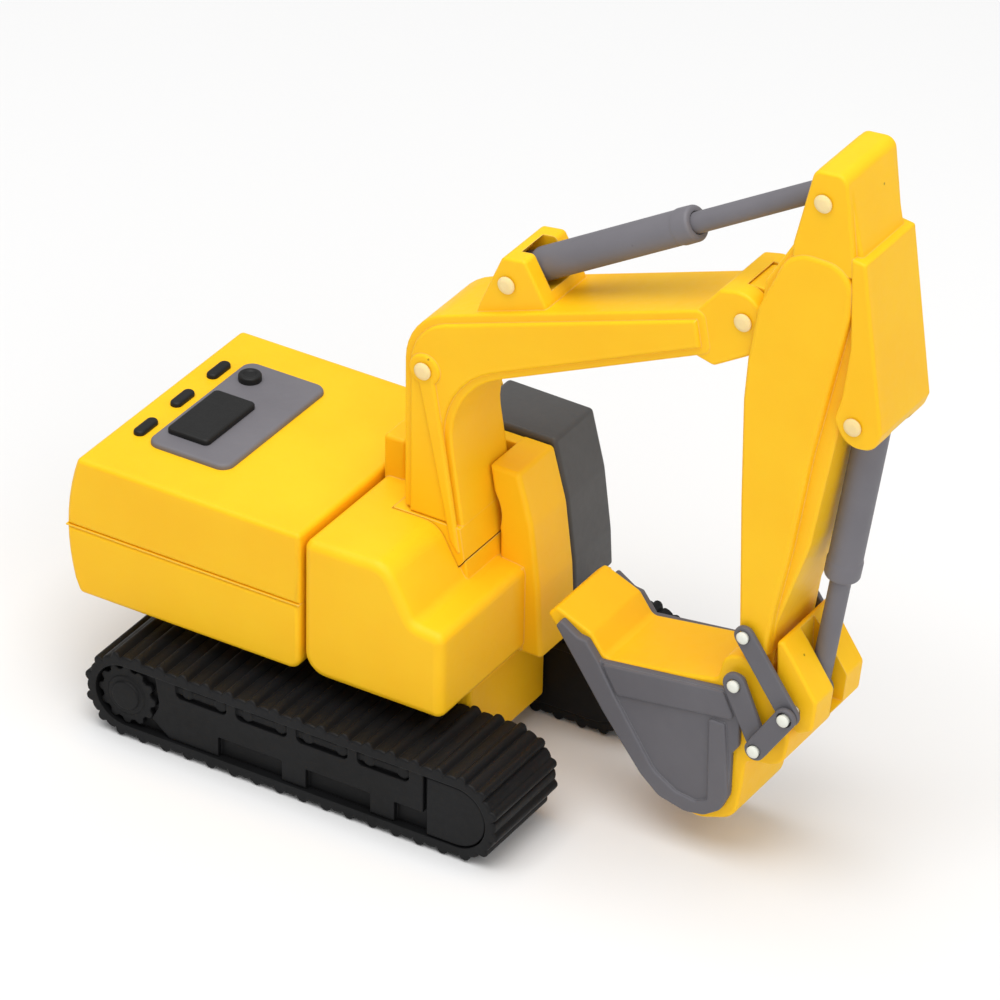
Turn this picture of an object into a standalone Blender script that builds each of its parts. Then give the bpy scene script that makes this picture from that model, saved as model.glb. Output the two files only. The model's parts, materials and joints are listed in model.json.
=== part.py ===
"""Miniature tracked excavator with a pull-off engine house that caps a USB plug.

Lengths below are millimetres and are turned into metres when a piece is placed.
+X is forward (towards the bucket), +Y is the cab side, +Z is up, z = 0 is the ground.
While modelling, x = 0 is the joint between the house front and the engine house.
"""
import math

import bmesh
import bpy
from mathutils import Matrix, Vector

MM = 0.001
X_MID = 12.93          # middle of the whole model, which becomes the origin
GAP = 0.15             # between pieces fixed to each other
PLAY = 0.3             # between pieces that move on each other
PIN_SEGMENTS = 12

# undercarriage
BELT_R = 4.3           # grouser tips
BELT_ROOT_R = 3.92
BELT_INNER_R = 3.15
BELT_REAR_X = -15.9
BELT_FRONT_X = 17.9
TRACK_IN = 6.4
TRACK_OUT = 16.5
GROUSERS = 40
SLEW_X = 3.9
HUB_R = 2.7

# house
HOUSE_HALF = 13.0
HOUSE_BOTTOM = 10.6
SEAM_Z = 17.3
ROOF_Z = 24.35
CAP_LENGTH = 23.1
CAP_BULGE = 1.2
PLUG_W = 12.0
PLUG_H = 4.5
PLUG_TIP_X = -14.2

# arm pivots, as (x, z)
FOOT = (7.7, 23.2)
FOOT_R = 2.95
KNEE = (6.9, 38.9)
STICK_CYL_BASE = (14.1, 48.9)
STICK_PIVOT = (36.9, 53.0)
STICK_CYL_EYE = (43.9, 66.4)
BUCKET_CYL_BASE = (47.6, 46.8)
P_ROCKER = (38.8, 23.8)
P_BUCKET = (38.1, 18.7)
P_KNUCKLE = (43.3, 17.5)
P_EAR = (40.6, 13.4)
ARM_HALF = 4.0         # half width of the arm's plain sides
PANEL_UP = 0.4         # raised side panels

COLOURS = {
    "yellow": ((0.93, 0.50, 0.02, 1.0), 0.55, 0.0),
    "grey": ((0.17, 0.16, 0.18, 1.0), 0.55, 0.0),
    "glass": ((0.09, 0.09, 0.09, 1.0), 0.45, 0.0),
    "black": ((0.012, 0.012, 0.013, 1.0), 0.6, 0.0),
    "white": ((0.90, 0.82, 0.62, 1.0), 0.5, 0.0),
    "steel": ((0.62, 0.62, 0.64, 1.0), 0.28, 1.0),
    "tongue": ((0.80, 0.80, 0.78, 1.0), 0.5, 0.0),
    "board": ((0.02, 0.16, 0.06, 1.0), 0.5, 0.0),
    "chip": ((0.02, 0.02, 0.02, 1.0), 0.4, 0.0),
}

ROOT = None


# ---------------------------------------------------------------- helpers
def clear_scene():
    for ob in list(bpy.data.objects):
        bpy.data.objects.remove(ob, do_unlink=True)


def material(name):
    mat = bpy.data.materials.get(name)
    if mat:
        return mat
    colour, rough, metal = COLOURS[name]
    mat = bpy.data.materials.new(name)
    mat.use_nodes = True
    bsdf = mat.node_tree.nodes["Principled BSDF"]
    bsdf.inputs["Base Color"].default_value = colour
    bsdf.inputs["Roughness"].default_value = rough
    bsdf.inputs["Metallic"].default_value = metal
    return mat


def to_object(bm, name="tmp"):
    bmesh.ops.recalc_face_normals(bm, faces=bm.faces)
    mesh = bpy.data.meshes.new(name)
    bm.to_mesh(mesh)
    bm.free()
    ob = bpy.data.objects.new(name, mesh)
    bpy.context.scene.collection.objects.link(ob)
    return ob


def box(x0, x1, y0, y1, z0, z1):
    bm = bmesh.new()
    bmesh.ops.create_cube(bm, size=1.0)
    centre = Vector(((x0 + x1) / 2, (y0 + y1) / 2, (z0 + z1) / 2))
    size = Matrix.Diagonal((x1 - x0, y1 - y0, z1 - z0, 1.0))
    bmesh.ops.transform(bm, matrix=Matrix.Translation(centre) @ size, verts=bm.verts)
    return to_object(bm)


def prism_bm(points, y0, y1):
    """Extrude a closed (x, z) outline between two y planes."""
    bm = bmesh.new()
    verts = [bm.verts.new((x, y0, z)) for x, z in points]
    face = bm.faces.new(verts)
    out = bmesh.ops.extrude_face_region(bm, geom=[face])
    moved = [g for g in out["geom"] if isinstance(g, bmesh.types.BMVert)]
    bmesh.ops.translate(bm, vec=(0.0, y1 - y0, 0.0), verts=moved)
    bmesh.ops.recalc_face_normals(bm, faces=bm.faces)
    return bm


def prism(points, y0, y1):
    return to_object(prism_bm(points, y0, y1))


def panelled_prism(points, half, border, rise):
    """A slab about y = 0 whose two side faces carry a raised panel inside a border."""
    bm = prism_bm(points, -half, half)
    sides = [f for f in bm.faces if abs(f.normal.y) > 0.99 and len(f.verts) == len(points)]
    bmesh.ops.inset_individual(bm, faces=sides, thickness=border, depth=0.0)
    bmesh.ops.inset_individual(bm, faces=sides, thickness=0.2, depth=rise)
    return to_object(bm)


def plate(points, y0, y1, border=0.0, sink=0.0):
    """A side plate; its outer face (the one further from y = 0) may be recessed."""
    bm = prism_bm(points, y0, y1)
    outer = max(y0, y1, key=abs)
    faces = [f for f in bm.faces
             if abs(f.normal.y) > 0.99 and abs(f.calc_center_median().y - outer) < 0.01]
    if border:
        bmesh.ops.inset_individual(bm, faces=faces, thickness=border, depth=0.0)
        bmesh.ops.inset_individual(bm, faces=faces, thickness=0.15, depth=-sink)
    return to_object(bm)


def rod_y(centre, radius, y0, y1, segments=24):
    pts = [(centre[0] + radius * math.cos(math.tau * (i + 0.5) / segments),
            centre[1] + radius * math.sin(math.tau * (i + 0.5) / segments))
           for i in range(segments)]
    return prism(pts, y0, y1)


def tube_along(start, end, profile, segments=16):
    """A turned piece whose axis runs from start to end in the y = 0 plane.

    profile lists (distance along the axis, radius), outside first, closing on the axis.
    """
    a = Vector((start[0], 0.0, start[1]))
    b = Vector((end[0], 0.0, end[1]))
    axis = (b - a).normalized()
    side = Vector((0.0, 1.0, 0.0))
    other = axis.cross(side)
    bm = bmesh.new()
    rings = []
    for along, radius in profile:
        if radius <= 0.0:
            rings.append([bm.verts.new(a + axis * along)])
            continue
        ring = []
        for i in range(segments):
            t = math.tau * (i + 0.5) / segments
            ring.append(bm.verts.new(
                a + axis * along + (side * math.cos(t) + other * math.sin(t)) * radius))
        rings.append(ring)
    for r0, r1 in zip(rings, rings[1:]):
        for i in range(segments):
            j = (i + 1) % segments
            quad = [r0[i % len(r0)], r0[j % len(r0)], r1[j % len(r1)], r1[i % len(r1)]]
            unique = list(dict.fromkeys(quad))
            if len(unique) > 2:
                bm.faces.new(unique)
    return to_object(bm)


def capsule_points(p, q, rp, rq, steps=9):
    """Outline of two discs and their outer tangents."""
    a = Vector(p)
    b = Vector(q)
    d = b - a
    base = math.atan2(d.y, d.x)
    lean = math.acos(max(-1.0, min(1.0, (rp - rq) / d.length)))
    pts = []
    for i in range(steps):
        t = base + lean + (math.tau - 2 * lean) * i / (steps - 1)
        pts.append((a.x + rp * math.cos(t), a.y + rp * math.sin(t)))
    for i in range(steps):
        t = base - lean + 2 * lean * i / (steps - 1)
        pts.append((b.x + rq * math.cos(t), b.y + rq * math.sin(t)))
    return pts


def arc(centre, radius, start, end, steps):
    return [(centre[0] + radius * math.cos(math.radians(start + (end - start) * i / steps)),
             centre[1] + radius * math.sin(math.radians(start + (end - start) * i / steps)))
            for i in range(steps + 1)]


def boolean(target, others, operation):
    for other in others:
        mod = target.modifiers.new("bool", "BOOLEAN")
        mod.operation = operation
        mod.solver = "EXACT"
        mod.object = other
        bpy.context.view_layer.update()
        graph = bpy.context.evaluated_depsgraph_get()
        mesh = bpy.data.meshes.new_from_object(target.evaluated_get(graph))
        target.modifiers.clear()
        target.data = mesh
        bpy.data.objects.remove(other, do_unlink=True)
    return target


def union(target, *others):
    return boolean(target, others, "UNION")


def cut(target, *others):
    return boolean(target, others, "DIFFERENCE")


def soften(ob, width, angle=40.0, segments=1):
    mod = ob.modifiers.new("bevel", "BEVEL")
    mod.width = width
    mod.segments = segments
    mod.limit_method = "ANGLE"
    mod.angle_limit = math.radians(angle)
    mod.use_clamp_overlap = True
    bpy.context.view_layer.update()
    graph = bpy.context.evaluated_depsgraph_get()
    mesh = bpy.data.meshes.new_from_object(ob.evaluated_get(graph))
    ob.modifiers.clear()
    ob.data = mesh
    return ob


def finish(ob, name, mat, pivot=(0.0, 0.0, 0.0)):
    """Name the piece, put its origin on its pivot and bring it to metres."""
    ob.name = name
    ob.data.name = name
    pivot = Vector(pivot)
    ob.data.transform(Matrix.Translation(-pivot))
    ob.data.transform(Matrix.Scale(MM, 4))
    ob.data.materials.clear()
    ob.data.materials.append(material(mat))
    ob.data.shade_smooth()
    ob.data.set_sharp_from_angle(angle=math.radians(30.0))
    ob.parent = ROOT
    ob.location = pivot * MM
    return ob


def at(p):
    return (p[0], 0.0, p[1])


# ---------------------------------------------------------------- undercarriage
def stadium(radius, steps=10):
    pts = arc((BELT_REAR_X, BELT_R), radius, 90.0, 270.0, steps)
    pts += arc((BELT_FRONT_X, BELT_R), radius, -90.0, 90.0, steps)
    return pts


def belt_point(s, radius):
    """Point at distance s round the belt's root line, offset to a radius."""
    straight = BELT_FRONT_X - BELT_REAR_X
    turn = math.pi * BELT_ROOT_R
    s = s % (2 * straight + 2 * turn)
    if s < straight:
        return (BELT_REAR_X + s, BELT_R - radius)
    s -= straight
    if s < turn:
        t = -math.pi / 2 + s / BELT_ROOT_R
        return (BELT_FRONT_X + radius * math.cos(t), BELT_R + radius * math.sin(t))
    s -= turn
    if s < straight:
        return (BELT_FRONT_X - s, BELT_R + radius)
    s -= straight
    t = math.pi / 2 + s / BELT_ROOT_R
    return (BELT_REAR_X + radius * math.cos(t), BELT_R + radius * math.sin(t))


def belt_outline():
    total = 2 * (BELT_FRONT_X - BELT_REAR_X) + math.tau * BELT_ROOT_R
    pitch = total / GROUSERS
    pts = []
    for k in range(GROUSERS):
        s = (k + 0.5) * pitch
        for part, radius in ((-0.32, BELT_ROOT_R), (-0.16, BELT_R),
                             (0.16, BELT_R), (0.32, BELT_ROOT_R)):
            pts.append(belt_point(s + part * pitch, radius))
    return pts


def toothed_disc(centre, radius, root, teeth):
    pts = []
    for k in range(teeth):
        for part, r in ((-0.34, root), (-0.16, radius), (0.16, radius), (0.34, root)):
            t = math.tau * (k + part) / teeth
            pts.append((centre[0] + r * math.cos(t), centre[1] + r * math.sin(t)))
    return pts


def make_track(sign, side):
    y_in, y_out = TRACK_IN * sign, TRACK_OUT * sign
    belt = prism(belt_outline(), y_in, y_out)
    cut(belt, prism(stadium(BELT_INNER_R), y_in - sign, y_out + sign))
    finish(belt, "track_belt_" + side, "black")

    rear = (BELT_REAR_X, BELT_R)
    front = (BELT_FRONT_X, BELT_R)
    face = (TRACK_OUT - 0.5) * sign
    deep = (TRACK_OUT - 1.3) * sign
    past = (TRACK_OUT + 1.0) * sign
    frame = prism(stadium(BELT_INNER_R - GAP), y_in, face)
    cuts = [rod_y(rear, 2.85, deep, past, 32), rod_y(front, 2.85, deep, past, 32)]
    slot_len = 4.9
    for k in range(4):
        x0 = -11.6 + k * 6.3
        cuts.append(box(x0, x0 + slot_len, min(deep, past), max(deep, past), 5.1, 6.5))
    for k in range(3):
        x0 = -8.4 + k * 9.0
        cuts.append(box(x0, x0 + 5.6, min(deep, past), max(deep, past), 1.9, 3.3))
    cut(frame, *cuts)
    rollers = []
    for k in range(4):
        for part in (1.3, 3.6):
            x = -11.6 + k * 6.3 + part
            rollers.append(rod_y((x, 5.8), 0.5, deep - 0.3 * sign, face, 10))
    union(frame, *rollers)
    finish(frame, "track_frame_" + side, "black")

    sprocket = prism(toothed_disc(rear, 2.65, 2.25, 11), deep + GAP * sign, face)
    union(sprocket, rod_y(rear, 1.45, deep + GAP * sign, face + 0.3 * sign, 20))
    finish(sprocket, "drive_sprocket_" + side, "black", (rear[0], face, rear[1]))

    idler = rod_y(front, 2.65, deep + GAP * sign, face - 0.1 * sign, 28)
    union(idler, rod_y(front, 0.9, deep + GAP * sign, face + 0.1 * sign, 16))
    finish(idler, "idler_wheel_" + side, "black", (front[0], face, front[1]))


def make_undercarriage():
    body = box(-11.0, 13.0, -TRACK_IN + GAP, TRACK_IN - GAP, 2.3, HOUSE_BOTTOM - 0.8)
    soften(body, 0.5)
    cut(body, rod_z(SLEW_X, 0.0, HUB_R + GAP, 8.4, 12.0))
    finish(body, "carbody", "yellow")
    hub = rod_z(SLEW_X, 0.0, HUB_R, 8.55, 13.0)
    finish(hub, "slew_hub", "black", (SLEW_X, 0.0, 8.55))
    for sign, side in ((1, "left"), (-1, "right")):
        make_track(sign, side)


def rod_z(x, y, radius, z0, z1, segments=24):
    bm = bmesh.new()
    bmesh.ops.create_cone(bm, cap_ends=True, segments=segments, radius1=radius,
                          radius2=radius, depth=z1 - z0)
    bmesh.ops.translate(bm, vec=(x, y, (z0 + z1) / 2), verts=bm.verts)
    return to_object(bm)


# ---------------------------------------------------------------- engine house (cap)
def slab_outline(z_low, z_high, bulge_low, bulge_high):
    """Engine house half seen from the side: its rear wall leans out to the seam."""
    return [(-PLAY / 2, z_low), (-PLAY / 2, z_high),
            (-CAP_LENGTH - bulge_high, z_high), (-CAP_LENGTH - bulge_low, z_low)]


def make_cap():
    upper = prism(slab_outline(SEAM_Z + GAP / 2, ROOF_Z, CAP_BULGE, 0.0),
                  -HOUSE_HALF, HOUSE_HALF)
    soften(upper, 0.5)
    lower = prism(slab_outline(HOUSE_BOTTOM, SEAM_Z - GAP / 2, 0.0, CAP_BULGE),
                  -HOUSE_HALF, HOUSE_HALF)
    soften(lower, 0.5)
    half_w = PLUG_W / 2 + PLAY
    half_h = PLUG_H / 2 + PLAY
    depth = PLUG_TIP_X - 1.5
    for ob in (upper, lower):
        cut(ob, box(depth, 1.0, -half_w, half_w, SEAM_Z - half_h, SEAM_Z + half_h))
    cut(upper, box(-19.3 - GAP, -11.2 + GAP, -7.4 - GAP, 8.3 + GAP, 23.4, 26.0))
    for y in (-5.6, 0.1, 5.8):
        cut(upper, box(-21.4 - GAP, -20.2 + GAP, y - 1.6 - GAP, y + 1.6 + GAP, 23.4, 26.0))
    finish(upper, "engine_house_upper", "yellow")
    finish(lower, "engine_house_lower", "yellow")

    panel = box(-19.3, -11.2, -7.4, 8.3, 23.4 + GAP, 24.75)
    soften(panel, 0.3)
    cut(panel, box(-18.5 - GAP, -14.2 + GAP, -5.9 - GAP, 1.9 + GAP, 24.1, 26.0))
    cut(panel, rod_z(-17.3, 5.5, 1.05 + GAP, 24.1, 26.0, 20))
    finish(panel, "roof_panel", "grey")
    hatch = soften(box(-18.5, -14.2, -5.9, 1.9, 24.1 + GAP, 25.4), 0.3)
    finish(hatch, "roof_hatch", "black")
    stack = soften(rod_z(-17.3, 5.5, 1.05, 24.1 + GAP, 25.5, 20), 0.2)
    finish(stack, "exhaust_stub", "black")
    for k, y in enumerate((-5.6, 0.1, 5.8)):
        vent = soften(box(-21.4, -20.2, y - 1.6, y + 1.6, 23.4 + GAP, 24.95), 0.35)
        finish(vent, "roof_vent_%d" % (k + 1), "black")


# ---------------------------------------------------------------- house front
def make_front():
    x0 = PLAY / 2
    block = [(x0, HOUSE_BOTTOM), (x0, 23.5), (0.6, 23.9), (4.0, 24.1), (7.4, 24.15),
             (8.7, 23.3), (9.6, 22.2), (10.5, 20.6), (11.3, 19.6), (13.6, 19.1),
             (14.2, 18.5), (14.2, HOUSE_BOTTOM)]
    body = prism(block, -HOUSE_HALF, 1.2)
    soften(body, 0.45)
    front_line = [(15.9, 10.1), (15.5, 17.0), (14.7, 23.0), (13.3, 28.0)]
    wall = [(0.5, 10.1)] + front_line + [(0.5, 28.0)]
    inner_wall = prism(wall, 5.0, 6.3)
    pillar = prism([(11.4, 10.15), (15.85, 10.15), (15.45, 17.0), (14.65, 23.0),
                    (13.25, 27.95), (11.4, 27.95)], 0.6, 5.45)
    soften(pillar, 0.35)
    base = prism([(0.7, 10.45), (15.3, 10.45), (15.2, 18.6), (11.0, 19.35), (9.55, 22.25),
                  (8.65, 23.15), (7.35, 23.95), (0.7, 23.85)], 0.35, 5.3)
    rear = box(0.6, 4.3, 5.75, HOUSE_HALF, 10.5, 28.3)
    strip = box(0.8, 2.4, -0.2, 5.6, 20.0, 28.1)
    sill = prism([(3.0, 10.3), (15.8, 10.3), (15.7, 13.0), (3.0, 13.0)], 5.65,
                 HOUSE_HALF - 0.05)
    lower = box(0.9, 9.3, 5.15, 8.3, 10.4, 20.3)
    post = prism([(9.0, 18.5), (9.2, 22.2), (10.95, 22.4), (11.9, 18.8)],
                 -ARM_HALF - 0.3, ARM_HALF + 0.25)
    union(body, base, inner_wall, pillar, rear, strip, sill, lower, post)
    cut(body, rod_y(FOOT, FOOT_R + 0.25, -ARM_HALF - 0.75, ARM_HALF + 0.85, 32))
    cut(body, prism([(4.2, 24.5), (4.2, 23.0), (7.0, 22.0), (8.0, 24.5)],
                    -ARM_HALF - 0.75, ARM_HALF + 0.85))
    cut(body, rod_y(FOOT, 0.65, -6.6, 6.0, 12))
    cut(body, box(-1.0, 3.4, -7.2, 7.2, 14.6, 19.85))
    cut(body, box(3.0, 8.2, -7.2, 7.2, 14.6, 19.0))
    cut(body, rod_z(SLEW_X, 0.0, HUB_R + PLAY, 9.0, 13.0 + PLAY))
    finish(body, "house_front", "yellow")

    pane = [(4.6, 13.3), (15.7, 13.3), (15.5, 17.0), (14.7, 23.0), (13.3, 28.4), (4.6, 28.6)]
    glass = soften(prism(pane, 6.6, HOUSE_HALF), 0.45)
    inside = [(3.0, 12.0), (14.6, 12.0), (14.4, 17.0), (13.6, 23.0), (12.4, 27.3), (3.0, 27.5)]
    cut(glass, prism(inside, 6.0, HOUSE_HALF - 1.0))
    finish(glass, "cab_glass", "glass")

    pin = rod_y(FOOT, 0.5, -6.3, 5.8, 12)
    finish(pin, "boom_foot_pin", "steel", at(FOOT))


def make_plug():
    z0, z1 = SEAM_Z - PLUG_H / 2, SEAM_Z + PLUG_H / 2
    half = PLUG_W / 2
    shell = soften(box(PLUG_TIP_X, 3.2, -half, half, z0, z1), 0.3)
    cut(shell, box(PLUG_TIP_X - 1, 4.2, -half + 0.35, half - 0.35, z0 + 0.35, z1 - 0.35))
    finish(shell, "usb_plug_shell", "steel")
    tongue = box(PLUG_TIP_X + 0.6, 3.0, -half + 0.65, half - 0.65, SEAM_Z + 0.15, z1 - 0.5)
    finish(tongue, "usb_tongue", "tongue")
    carrier = box(0.5, 1.6, -7.05, 7.05, 14.72, 19.28)
    cut(carrier, box(0.0, 2.0, -half - GAP, half + GAP, z0 - GAP, z1 + GAP))
    finish(carrier, "plug_carrier", "black")
    board = box(3.5, 7.9, -6.6, 6.6, 16.6, 17.4)
    finish(board, "usb_board", "board")
    memory = box(3.9, 7.5, -5.8, 0.4, 17.5, 18.4)
    finish(memory, "memory_chip", "chip")
    control = box(4.0, 7.3, 1.6, 5.0, 17.5, 18.3)
    finish(control, "controller_chip", "chip")
    crystal = box(4.2, 7.0, -3.0, -1.2, 15.7, 16.5)
    finish(crystal, "crystal", "steel")


# ---------------------------------------------------------------- boom
def make_boom():
    outline = [(4.75, 24.45), (4.65, 30.0), (4.6, 36.5), (4.95, 40.0), (5.9, 42.6),
               (7.6, 44.1), (11.2, 45.4), (22.4, 49.1), (33.2, 52.9), (34.0, 51.0),
               (33.9, 49.1), (33.2, 48.7), (16.3, 41.0), (13.6, 39.7), (11.4, 38.0),
               (9.8, 36.0), (9.15, 33.5), (9.4, 30.5), (10.0, 26.8), (10.8, 22.9),
               (9.5, 22.9), (8.6, 24.0), (7.4, 24.45)]
    boom = panelled_prism(outline, ARM_HALF, 0.55, PANEL_UP)
    foot = rod_y(FOOT, FOOT_R, -ARM_HALF - 0.1, ARM_HALF + 0.1, 32)
    neck = prism([(32.4, 49.2), (34.3, 48.1), (37.2, 50.6)]
                 + arc(STICK_PIVOT, 2.35, -80.0, 85.0, 10)
                 + [(34.9, 55.0), (33.4, 53.7), (32.4, 52.2)], -3.85, 3.85)
    bracket = prism([(12.0, 45.0), (12.2, 46.6), (14.6, 51.3), (15.7, 51.6),
                     (19.0, 48.3), (19.0, 47.4)], -3.3, 3.3)
    union(boom, foot, neck, bracket)
    ribs = [(6.1, 38.7), (7.8, 38.7), (10.4, 24.6), (9.5, 24.6)]
    top = ARM_HALF + PANEL_UP
    for sign in (-1, 1):
        y0, y1 = sorted((sign * (top - 0.3), sign * (top + 0.3)))
        union(boom, prism(ribs, y0, y1))
        union(boom, rod_y(KNEE, 1.55, y0, y1, 20))
    cut(boom, prism([(10.6, 47.9), (10.6, 54.0), (21.0, 54.0), (21.0, 47.9),
                     (17.0, 47.05), (13.0, 47.05)], -1.75, 1.75))
    cut(boom, rod_y(STICK_PIVOT, 2.75, -2.15, 2.15, 28))
    cut(boom, box(36.0, 41.0, -2.15, 2.15, 49.0, 57.0))
    for centre in (KNEE, STICK_CYL_BASE, STICK_PIVOT, FOOT):
        cut(boom, rod_y(centre, 0.7, -9.0, 9.0, 12))
    finish(boom, "boom", "yellow", at(FOOT))


def make_pin(name, centre, half, head_r, mat="white", shank=0.5):
    """A turned pin across the arm with a low domed head at each end."""
    y0 = half + 0.1
    y1 = half + 0.4
    profile = [(-y1, 0.0), (-y1, head_r * 0.7), (-y1 + 0.12, head_r), (-y0, head_r),
               (-y0, shank), (y0, shank), (y0, head_r), (y1 - 0.12, head_r),
               (y1, head_r * 0.7), (y1, 0.0)]
    bm = bmesh.new()
    rings = []
    for y, radius in profile:
        if radius == 0.0:
            rings.append([bm.verts.new((centre[0], y, centre[1]))])
            continue
        turns = [math.tau * i / PIN_SEGMENTS for i in range(PIN_SEGMENTS)]
        rings.append([bm.verts.new((centre[0] + radius * math.cos(t), y,
                                    centre[1] + radius * math.sin(t))) for t in turns])
    for r0, r1 in zip(rings, rings[1:]):
        for i in range(PIN_SEGMENTS):
            j = (i + 1) % PIN_SEGMENTS
            loop = list(dict.fromkeys(
                [r0[i % len(r0)], r0[j % len(r0)], r1[j % len(r1)], r1[i % len(r1)]]))
            bm.faces.new(loop)
    finish(to_object(bm), name, mat, at(centre))


# ---------------------------------------------------------------- cylinders
def make_cylinder(prefix, base, eye, barrel_len, rod_start):
    """A barrel with a blind bore and eye, and the rod that slides in it."""
    length = math.dist(base, eye)
    barrel = tube_along(base, eye, [
        (1.2, 0.0), (1.2, 1.3), (barrel_len - 1.6, 1.42), (barrel_len - 1.4, 1.5),
        (barrel_len - 0.3, 1.5), (barrel_len, 1.3), (barrel_len, 1.12), (3.0, 1.12),
        (3.0, 0.0)])
    barrel_eye = rod_y(base, 1.4, -1.3, 1.3, 20)
    union(barrel_eye, barrel)
    cut(barrel_eye, rod_y(base, 0.65, -3.0, 3.0, 12))
    finish(barrel_eye, prefix + "_cylinder_barrel", "grey", at(base))
    rod = tube_along(base, eye, [
        (rod_start, 0.0), (rod_start, 0.8), (rod_start + 0.2, 0.92),
        (length - 0.9, 0.92), (length - 0.9, 0.0)])
    rod_eye = rod_y(eye, 1.08, -0.92, 0.92, 20)
    union(rod_eye, rod)
    cut(rod_eye, rod_y(eye, 0.7, -3.0, 3.0, 12))
    finish(rod_eye, prefix + "_cylinder_rod", "grey", at(eye))


# ---------------------------------------------------------------- stick
def make_stick():
    core = [(42.8, 68.5), (42.0, 65.0), (41.2, 61.9), (40.2, 59.8), (38.6, 57.2),
            (38.2, 53.0), (37.5, 49.8), (37.3, 46.0), (37.4, 36.4), (37.7, 26.7),
            (37.9, 21.6)]
    core += arc(P_BUCKET, 2.75, 95.0, 55.0, 4)
    core += [(40.4, 21.6), (40.7, 23.2), (41.0, 25.0), (42.6, 29.0), (43.7, 33.3),
             (44.9, 42.4), (46.2, 47.5), (47.6, 55.0), (47.4, 61.9), (46.9, 62.2),
             (45.9, 68.4), (45.2, 69.3), (44.2, 69.4)]
    stick = prism(core, -ARM_HALF + 0.5, ARM_HALF - 0.5)
    panel = [(38.4, 55.1), (39.6, 57.2), (41.1, 60.0), (42.8, 61.1), (45.4, 61.0),
             (46.6, 59.2), (46.7, 56.6), (43.8, 42.4), (42.4, 33.3), (41.1, 26.6),
             (40.5, 24.6), (40.3, 22.4), (39.4, 21.7), (38.0, 21.7), (37.8, 26.7),
             (37.5, 36.4), (37.4, 46.0), (37.6, 49.8), (38.3, 53.0)]
    slab = prism(panel, -ARM_HALF - PANEL_UP, ARM_HALF + PANEL_UP)
    soften(slab, 0.25)
    head = [(42.8, 68.4), (41.9, 65.0), (41.2, 62.2), (41.3, 60.4), (46.8, 60.4),
            (46.7, 61.9), (45.8, 68.5), (45.1, 69.2), (44.2, 69.3)]
    crown = soften(prism(head, -ARM_HALF - 0.1, ARM_HALF + 0.1), 0.2)
    hood = [(46.7, 62.1), (47.9, 61.9), (50.1, 46.7), (49.4, 45.6)]
    hood += arc(BUCKET_CYL_BASE, 1.95, -60.0, -170.0, 8)
    hood += [(46.3, 48.0), (46.9, 54.0)]
    casing = soften(prism(hood, -ARM_HALF - 0.2, ARM_HALF + 0.2), 0.2)
    tongue = prism(capsule_points((38.7, 24.0), P_BUCKET, 1.8, 1.8), -1.9, 1.9)
    lug = prism(capsule_points(STICK_PIVOT, (40.4, 53.0), 2.3, 2.6), -1.85, 1.85)
    union(stick, slab, crown, casing)
    cut(stick, rod_y(STICK_PIVOT, 2.7, -6.0, 6.0, 28))
    cut(stick, box(40.0, 45.3, -1.25, 1.25, 62.6, 68.0))
    cut(stick, prism([(45.4, 44.0), (45.9, 48.5), (49.45, 48.5), (49.9, 44.0)], -1.75, 1.75))
    union(stick, lug, tongue)
    for centre in (STICK_PIVOT, STICK_CYL_EYE, BUCKET_CYL_BASE, P_ROCKER, P_BUCKET):
        cut(stick, rod_y(centre, 0.7, -9.0, 9.0, 12))
    finish(stick, "stick", "yellow", at(STICK_PIVOT))


# ---------------------------------------------------------------- linkage and bucket
def make_linkage():
    block = [(41.5, 24.4), (42.5, 22.3), (44.9, 18.8), (45.1, 17.4), (44.8, 15.9),
             (43.8, 15.3), (42.6, 16.2), (42.0, 18.2), (41.5, 21.0)]
    knuckle = soften(prism(block, -ARM_HALF - 0.1, ARM_HALF + 0.1), 0.25)
    cut(knuckle, box(38.0, 48.0, -1.25, 1.25, 16.3, 28.0))
    cut(knuckle, rod_y(P_KNUCKLE, 0.7, -9.0, 9.0, 12))
    finish(knuckle, "knuckle_block", "yellow", at(P_ROCKER))
    for sign, side in ((1, "left"), (-1, "right")):
        near = sign * (ARM_HALF + 0.65)
        far = sign * (ARM_HALF + 1.15)
        y0, y1 = sorted((near, far))
        rocker = prism(capsule_points(P_ROCKER, P_KNUCKLE, 0.95, 1.05), y0, y1)
        cut(rocker, rod_y(P_ROCKER, 0.65, -9.0, 9.0, 12), rod_y(P_KNUCKLE, 0.65, -9, 9, 12))
        finish(rocker, "rocker_link_" + side, "grey", at(P_ROCKER))
        ear = prism(capsule_points(P_BUCKET, P_EAR, 1.2, 0.95), y0, y1)
        cut(ear, rod_y(P_BUCKET, 0.65, -9.0, 9.0, 12), rod_y(P_EAR, 0.65, -9, 9, 12))
        finish(ear, "bucket_ear_" + side, "grey", at(P_BUCKET))
        y0, y1 = sorted((sign * (ARM_HALF + 1.3), sign * (ARM_HALF + 1.8)))
        push = prism(capsule_points(P_KNUCKLE, P_EAR, 1.0, 0.95), y0, y1)
        cut(push, rod_y(P_KNUCKLE, 0.85, -9.0, 9.0, 12), rod_y(P_EAR, 0.65, -9, 9, 12))
        finish(push, "push_link_" + side, "grey", at(P_EAR))


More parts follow.
